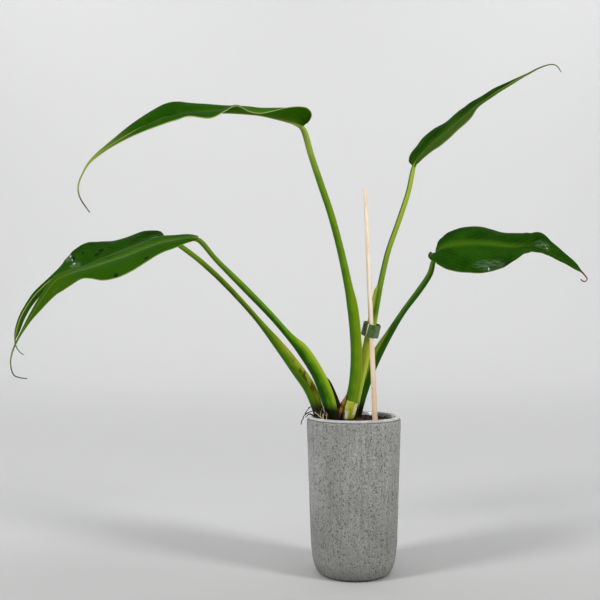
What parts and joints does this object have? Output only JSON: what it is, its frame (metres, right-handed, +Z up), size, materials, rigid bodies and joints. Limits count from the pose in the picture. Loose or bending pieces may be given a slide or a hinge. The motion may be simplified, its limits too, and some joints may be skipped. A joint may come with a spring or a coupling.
{
  "type": "potted burle marx flame monstera",
  "caption": "Young monstera with long narrow drooping leaves in a tall grey cylinder pot, one leaf stalk clipped to a support stick.",
  "frame": {"origin": "centre of the grey pot's flat foot, on the surface that it stands on", "axes": "+Z up along the pot's axis, +X along the spread of the leaves, towards the broad leaf by the stick, -Y towards the viewer"},
  "size_m": [0.5672, 0.1177, 0.5075],
  "materials": {
    "concrete": "matte",
    "clear_plastic": "gloss",
    "soil": "matte",
    "stem": "satin",
    "petiole": "satin",
    "leaf": "gloss",
    "dry_sheath": "matte",
    "black_sheath": "matte",
    "root": "matte",
    "pale_root": "matte",
    "stake": "matte",
    "clip": "gloss"
  },
  "bodies": {
    "root": {"outer_pot": "concrete", "nursery_pot": "clear_plastic", "soil": "soil", "stem": "stem", "petiole_a": "petiole", "petiole_b": "petiole", "petiole_c": "petiole", "petiole_d": "petiole", "petiole_e": "petiole", "blade_a": "leaf", "blade_b": "leaf", "blade_c": "leaf", "blade_d": "leaf", "blade_e": "leaf", "brown_sheath": "dry_sheath", "black_sheath": "black_sheath", "dark_roots": "root", "pale_roots": "pale_root", "stake": "stake", "clip": "clip"}
  },
  "joints": []
}
